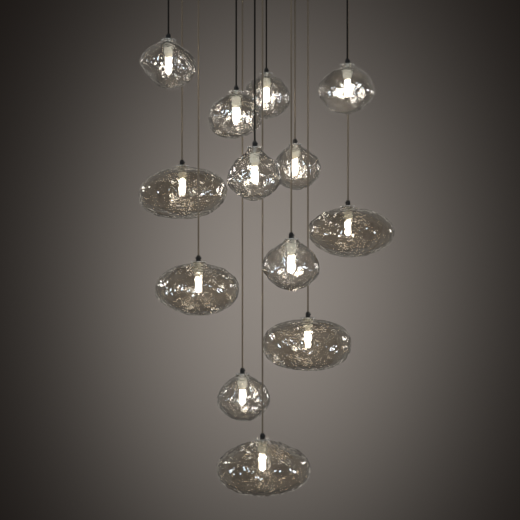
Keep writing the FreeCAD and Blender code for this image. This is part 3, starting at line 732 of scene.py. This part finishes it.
# %% Finishes of the fittings
def black_collar():
    material, tree, shader = finish("black_collar", (0.008, 0.008, 0.008), 0.35, Specular_IOR_Level=0.3)
    grain = effect(tree, "fine_grain", Grain_per_metre=2500.0, Patches_per_metre=150.0)
    worn = blend_colours(tree, spread(tree, grain["Patches"], -0.6, 0.7), (0.006, 0.006, 0.006),
                         (0.020, 0.018, 0.016))
    dusty = blend_colours(tree, effect(tree, "dust", Amount=0.25)["Dust"], worn, (0.20, 0.19, 0.17))
    connect(tree, shader, Base_Color=dusty, Roughness=spread(tree, grain["Patches"], 0.25, 0.55))
    bump(tree, shader, grain["Grain"], 0.00008, 0.4)
    return material


def plated_steel(name, colour, roughness):
    material, tree, shader = finish(name, colour, roughness, Metallic=1.0)
    grain = effect(tree, "fine_grain", Grain_per_metre=1500.0, Patches_per_metre=60.0)
    lines = effect(tree, "scratches", Lines_per_metre=500.0, Share=0.08)["Lines"]
    cloudy = blend_colours(tree, spread(tree, grain["Patches"], -0.2, 1.0), tuple(c * 0.82 for c in colour),
                           colour)
    connect(tree, shader, Base_Color=cloudy, Roughness=calc(
        tree, "ADD", spread(tree, grain["Patches"], roughness * 0.7, roughness * 1.4),
        calc(tree, "MULTIPLY", lines, 0.15)))
    bump(tree, shader, calc(tree, "SUBTRACT", grain["Grain"], lines), 0.00005, 0.4)
    return material


def glazed_ceramic(name, colour):
    material, tree, shader = finish(name, colour, 0.22, Coat_Weight=0.4)
    grain = effect(tree, "fine_grain", Grain_per_metre=1800.0, Patches_per_metre=90.0)
    tone = blend_colours(tree, grain["Patches"], tuple(c * 0.9 for c in colour), colour)
    pits = calc(tree, "GREATER_THAN", grain["Grain"], 0.68)
    speckled = blend_colours(tree, calc(tree, "MULTIPLY", pits, 0.35), tone, (0.45, 0.40, 0.33))
    connect(tree, shader, Base_Color=speckled, Roughness=spread(tree, grain["Patches"], 0.16, 0.34))
    bump(tree, shader, calc(tree, "ADD", grain["Grain"], calc(tree, "MULTIPLY", pits, -0.6)), 0.00006, 0.4)
    return material


def clear_disc(tint):
    material, tree, shader = finish("clear_disc", tint, 0.25, IOR=1.35, Transmission_Weight=1.0)
    lines = effect(tree, "scratches", Lines_per_metre=350.0, Share=0.05)["Lines"]
    connect(tree, shader, Roughness=spread(tree, lines, 0.22, 0.35))
    let_shadow_rays_through(tree, shader, tint)
    return material


STEEL = plated_steel("bright_steel", (0.56, 0.55, 0.53), 0.28)
DARK_SCREW = plated_steel("blackened_screw", (0.06, 0.06, 0.06), 0.35)
CERAMIC = glazed_ceramic("holder_ceramic", (0.80, 0.78, 0.70))
FITTING_KINDS = {"cap": clear_disc((0.95, 0.95, 0.93)), "collar": black_collar(), "screw": DARK_SCREW,
                 "steel": STEEL, "holder": CERAMIC}
print("finishes:", ", ".join(material.name for material in FITTING_KINDS.values()))

# %% The fittings
CORD_BELOW_HOLDER_TOP = 0.007
SCREW_OFF_AXIS = 0.003
RIM_GAP = 0.001
CAP_REACH, HOLDER_REACH = 0.018, 0.011  # from the pendant's axis, between one kind and the next


def holder_top(hung):
    return CORD_TOP - hung.cord_length + CORD_BELOW_HOLDER_TOP


def fitting_kind(hung, points):
    away = np.hypot(points[:, 0] - hung.x, points[:, 1] - hung.y).max()
    middle = (points.min(axis=0) + points.max(axis=0)) / 2
    if math.hypot(middle[0] - hung.x, middle[1] - hung.y) > SCREW_OFF_AXIS:
        return "screw"
    if points[:, 2].min() > -hung.rim_depth - RIM_GAP:
        return "cap" if away > CAP_REACH else "collar"
    return "holder" if away > HOLDER_REACH else "steel"


order = list(FITTING_KINDS)
for pendant, hung in PENDANTS.items():
    fitting = nodes["globe_fitting_" + pendant]
    found = dress_solids(fitting, FITTING_KINDS, lambda points: fitting_kind(hung, points))
    split_at(fitting, holder_top(hung), order.index("holder"), order.index("steel"))
    print(pendant, found)

# %% [markdown]
# The ribs of a lamp holder repeat round it, so a geometry tree makes one rib with rounded ends and sets it on
# the points of a circle. The whole ring becomes one plain mesh that rides with its pendant.

# %% Ribs of the lamp holders
def rib_tree():
    tree, given, made = new_tree(
        "ribs_round_a_holder", "GeometryNodeTree",
        [("Geometry", "Geometry", None), ("Count", "Int", 24), ("Circle radius", "Float", 0.0124),
         ("Rib radius", "Float", 0.0009), ("Rib length", "Float", 0.019), ("Top", "Vector", (0, 0, 0)),
         ("Ceramic", "Material", None)],
        [("Geometry", "Geometry")],
    )
    value = given.outputs
    ring = add(tree, "GeometryNodeMeshCircle", {"Vertices": value["Count"], "Radius": value["Circle radius"]})
    end = add(tree, "ShaderNodeCombineXYZ",
              {"Z": calc(tree, "MULTIPLY", value["Rib length"], -1.0)}).outputs[0]
    line = add(tree, "GeometryNodeCurvePrimitiveLine", {"End": end}).outputs[0]
    parts = add(tree, "GeometryNodeResampleCurve", {"Curve": line, "Count": 9}, mode="COUNT").outputs[0]
    share = add(tree, "GeometryNodeSplineParameter").outputs["Factor"]
    from_middle = calc(tree, "ABSOLUTE", calc(tree, "MULTIPLY_ADD", share, 2.0, -1.0))
    taper = calc(tree, "SQRT", calc(tree, "SUBTRACT", 1.02, calc(tree, "POWER", from_middle, 8.0)))
    slim = add(tree, "GeometryNodeSetCurveRadius", {"Curve": parts, "Radius": taper}).outputs[0]
    section = add(tree, "GeometryNodeCurvePrimitiveCircle", {"Resolution": 8, "Radius": value["Rib radius"]})
    rib = add(tree, "GeometryNodeCurveToMesh",
              {"Curve": slim, "Profile Curve": section.outputs[0], "Fill Caps": True}).outputs[0]
    ribs = add(tree, "GeometryNodeInstanceOnPoints",
               {"Points": ring.outputs[0], "Instance": smooth(tree, rib)}).outputs[0]
    placed = add(tree, "GeometryNodeTransform", {"Geometry": ribs, "Translation": value["Top"]}).outputs[0]
    give_out(tree, made, placed, value["Ceramic"])
    return tree


RIBS = rib_tree()
RIBS_BELOW_HOLDER_TOP = 0.0026
for pendant, hung in PENDANTS.items():
    top = (hung.x, hung.y, holder_top(hung) - RIBS_BELOW_HOLDER_TOP)
    seed = new_object("rib_seed", bpy.data.meshes.new("rib_seed"))
    ribs = new_object("holder_ribs_" + pendant, grow(seed, RIBS, Top=top, Ceramic=CERAMIC))
    bpy.data.objects.remove(seed)
    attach(ribs, "pendant_" + pendant)
print("ribs on", len(PENDANTS), "holders, faces each:", len(ribs.data.polygons))

# %% [markdown]
# The lamp is a capsule of frosted glass on a ceramic base. When lit, it is far brighter than anything round
# it, so it shows as plain white, and its reflections in the folds are what makes the globes sparkle. The
# base's foot touches the capsule, and the CAD node brings both in together, so they are split at the foot's
# height.

# %% Lamps
def lit_capsule():
    material, tree, shader = finish("lit_capsule", (0.9, 0.9, 0.88), 0.4, Emission_Strength=40.0)
    shader.inputs["Emission Color"].default_value = (1.0, 0.95, 0.87, 1)
    grain = effect(tree, "fine_grain", Grain_per_metre=2500.0, Patches_per_metre=120.0)
    connect(tree, shader, Roughness=spread(tree, grain["Patches"], 0.3, 0.6))
    bump(tree, shader, grain["Grain"], 0.00005, 0.3)
    return material


FOOT_BELOW_HOLDER_TOP = 0.034
PIN_WIDTH_BELOW, BASE_HEIGHT_BELOW = 0.006, 0.03


def lamp_kind(points):
    size = points.max(axis=0) - points.min(axis=0)
    if size[0] < PIN_WIDTH_BELOW:
        return "pin"
    return "capsule" if size[2] > BASE_HEIGHT_BELOW else "base"


LAMP_KINDS = {"capsule": lit_capsule(), "base": glazed_ceramic("lamp_base_ceramic", (0.82, 0.77, 0.64)),
              "pin": STEEL}
order = list(LAMP_KINDS)
for pendant, hung in PENDANTS.items():
    lamp = nodes["lamp_" + pendant]
    found = dress_solids(lamp, LAMP_KINDS, lamp_kind)
    split_at(lamp, holder_top(hung) - FOOT_BELOW_HOLDER_TOP, order.index("capsule"), order.index("base"))
    print(pendant, found)

# %% [markdown]
# The canopy is a spun steel pan with a powder coat. Powder coat has a fine orange-peel skin, is a little worn
# at its rim, and gathers dust on its upper side. Inside it are a zinc-plated plate and nuts, a moulded box
# for the joints, and a block of screw terminals.

# %% Finishes of the canopy
def powder_coat(name, colour):
    material, tree, shader = finish(name, colour, 0.5, Specular_IOR_Level=0.45)
    grain = effect(tree, "fine_grain", Grain_per_metre=1100.0, Patches_per_metre=14.0)
    tone = blend_colours(tree, grain["Patches"], tuple(c * 0.8 for c in colour),
                         tuple(c * 1.25 for c in colour))
    lines = effect(tree, "scratches", Lines_per_metre=120.0, Share=0.03)["Lines"]
    rubbed = blend_colours(tree, calc(tree, "MULTIPLY", lines, 0.25), tone, (0.16, 0.155, 0.15))
    dusty = blend_colours(tree, effect(tree, "dust", Amount=0.35)["Dust"], rubbed, (0.22, 0.20, 0.18))
    connect(tree, shader, Base_Color=dusty, Roughness=spread(tree, grain["Patches"], 0.42, 0.62))
    bump(tree, shader, grain["Grain"], 0.0002, 0.35)
    return material


def moulded_plastic(name, colour):
    material, tree, shader = finish(name, colour, 0.45)
    grain = effect(tree, "fine_grain", Grain_per_metre=2200.0, Patches_per_metre=40.0)
    tone = blend_colours(tree, grain["Patches"], tuple(c * 0.88 for c in colour), colour)
    dusty = blend_colours(tree, effect(tree, "dust", Amount=0.5)["Dust"], tone, (0.5, 0.48, 0.44))
    connect(tree, shader, Base_Color=dusty, Roughness=spread(tree, grain["Patches"], 0.35, 0.6))
    bump(tree, shader, grain["Grain"], 0.0001, 0.4)
    return material


def dress_node(name, material):
    mesh = nodes[name].data
    mesh.materials.clear()
    mesh.materials.append(material)
    print(name, "->", material.name)


PAINT_COLOUR = (0.030, 0.028, 0.026)
ZINC = plated_steel("zinc_plate", (0.60, 0.61, 0.62), 0.38)
dress_node("canopy", powder_coat("canopy_powder_coat", PAINT_COLOUR))
dress_node("canopy_side_screws", powder_coat("painted_screws", PAINT_COLOUR))
dress_node("canopy_cord_grips", moulded_plastic("grip_nylon", (0.018, 0.017, 0.016)))
dress_node("mounting_plate", ZINC)
dress_node("lock_nuts", ZINC)
dress_node("junction_box", moulded_plastic("box_plastic", (0.72, 0.70, 0.66)))
dress_node("terminal_block", moulded_plastic("terminal_plastic", (0.78, 0.76, 0.70)))

# %% [markdown]
# The room behind the lamp is plain and warm grey, brightest behind the middle of the cluster. A world with a
# soft glow in one direction gives that without a wall. Glass and metal see the glow too, with a thin bright
# ring round it that lights the edges of the globes. The light that falls on dull surfaces is even. A few
# plain soft lamps add shape and sparks. The floor is far below the picture, and looks dim where it shows in
# the glass.

# %% World
GLOW_SIDE, GLOW_SIDE_WIDTH = 0.009, 0.114  # as shares of the distance ahead
GLOW_RISE, GLOW_RISE_WIDTH = -0.02, 0.165
GLOW, ROUND_GLOW = (0.270, 0.241, 0.215), (0.008, 0.006, 0.005)
ROOM_BESIDE, ROOM_BEHIND = (0.13, 0.122, 0.112), (0.06, 0.057, 0.053)
RING, RING_AHEAD, RING_WIDTH = (0.60, 0.55, 0.48), 0.885, 0.02
EVEN_LIGHT = (0.75, 0.74, 0.73, 1)


def off_centre(tree, value, centre, width):
    return calc(tree, "DIVIDE", calc(tree, "SUBTRACT", value, centre), width)


def ramp(tree, value, start, end):
    return add(tree, "ShaderNodeMapRange", {"Value": value, "From Min": start, "From Max": end}).outputs[0]


def room():
    world = bpy.data.worlds.new("plain_room")
    world.use_nodes = True
    tree = world.node_tree
    tree.nodes.clear()
    way = add(tree, "ShaderNodeTexCoord").outputs["Generated"]
    parts = add(tree, "ShaderNodeSeparateXYZ", {0: way}).outputs
    rays = add(tree, "ShaderNodeLightPath").outputs
    not_camera = calc(tree, "SUBTRACT", 1.0, rays["Is Camera Ray"])

    ahead = calc(tree, "MAXIMUM", parts["Y"], 0.05)
    side = off_centre(tree, calc(tree, "DIVIDE", parts["X"], ahead), GLOW_SIDE, GLOW_SIDE_WIDTH)
    rise = off_centre(tree, calc(tree, "DIVIDE", parts["Z"], ahead), GLOW_RISE, GLOW_RISE_WIDTH)
    square = calc(tree, "ADD", calc(tree, "MULTIPLY", side, side), calc(tree, "MULTIPLY", rise, rise))
    glow = calc(tree, "EXPONENT", calc(tree, "MULTIPLY", square, -0.5))
    wall = blend_colours(tree, glow, ROUND_GLOW, GLOW)

    outside = ramp(tree, parts["Y"], 0.93, 0.6)
    by_glass = calc(tree, "MULTIPLY", ramp(tree, parts["Y"], 0.975, 0.9), not_camera)
    rest_of_room = blend_colours(tree, ramp(tree, parts["Y"], 0.3, -0.3), ROOM_BESIDE, ROOM_BEHIND)
    seen = blend_colours(tree, calc(tree, "MAXIMUM", outside, by_glass), wall, rest_of_room)

    off_ring = off_centre(tree, parts["Y"], RING_AHEAD, RING_WIDTH)
    ring = calc(tree, "EXPONENT", calc(tree, "MULTIPLY", calc(tree, "MULTIPLY", off_ring, off_ring), -1.0))
    seen = blend_colours(tree, calc(tree, "MULTIPLY", ring, not_camera), seen, RING)

    shows = calc(tree, "MAXIMUM", rays["Is Camera Ray"],
                 calc(tree, "MAXIMUM", rays["Is Glossy Ray"], rays["Is Transmission Ray"]))
    picture = add(tree, "ShaderNodeBackground", {"Color": seen, "Strength": 1.0})
    even = add(tree, "ShaderNodeBackground", {"Color": EVEN_LIGHT, "Strength": 1.0})
    mixed = add(tree, "ShaderNodeMixShader", {0: shows, 1: even.outputs[0], 2: picture.outputs[0]})
    add(tree, "ShaderNodeOutputWorld", {"Surface": mixed.outputs[0]})
    scene.world = world


room()
print("world:", scene.world.name)


# %% Lamps of the studio and the floor
def soft_lamp(name, place, aim, size, power, colour):
    light = bpy.data.lights.new(name, "AREA")
    light.shape = "RECTANGLE"
    light.size, light.size_y = size
    light.energy = power
    light.color = colour
    obj = bpy.data.objects.new(name, light)
    obj.location = place
    obj.rotation_euler = (Vector(aim) - Vector(place)).to_track_quat("-Z", "Y").to_euler()
    scene.collection.objects.link(obj)


def pale_floor():
    bpy.ops.mesh.primitive_circle_add(vertices=96, radius=1.5, fill_type="NGON", location=(0, 0, -2.6))
    floor = bpy.context.object
    floor.name = "pale_floor"
    material, tree, shader = finish("pale_floor", (0.40, 0.385, 0.36), 0.7)
    rays = add(tree, "ShaderNodeLightPath").outputs
    in_glass = calc(tree, "MAXIMUM", rays["Is Glossy Ray"], rays["Is Transmission Ray"])
    dim = add(tree, "ShaderNodeBsdfDiffuse", {"Color": (0.07, 0.065, 0.06, 1)})
    look = add(tree, "ShaderNodeMixShader", {0: in_glass, 1: shader.outputs[0], 2: dim.outputs[0]})
    tree.links.new(look.outputs[0], tree.nodes["Material Output"].inputs["Surface"])
    floor.data.materials.append(material)
    return floor


CENTRE = Vector((0, 0, -0.85))
LAMP_DISTANCE = 3.0
SOFT_LAMPS = (  # turn round the cluster, height, size, power, colour
    (235, 0.25, (0.25, 0.9), 8, (0.72, 0.86, 1.0)),
    (262, -1.95, (0.6, 0.3), 6, (0.76, 0.88, 1.0)),
    (300, 0.1, (0.4, 0.4), 6, (0.76, 0.88, 1.0)),
    (335, -1.3, (0.3, 0.6), 6, (0.82, 0.91, 1.0)),
    (200, -1.4, (0.3, 0.6), 6, (0.76, 0.88, 1.0)),
    (150, 0.1, (0.4, 0.4), 6, (1.0, 0.95, 0.88)),
    (30, -0.5, (0.3, 0.6), 6, (1.0, 0.95, 0.88)),
)
for number, (turn, height, size, power, colour) in enumerate(SOFT_LAMPS):
    turn = math.radians(turn)
    place = (LAMP_DISTANCE * math.cos(turn), LAMP_DISTANCE * math.sin(turn), height)
    soft_lamp(f"soft_lamp_{number}", place, CENTRE, size, power, colour)
pale_floor()
print("soft lamps:", len(SOFT_LAMPS))
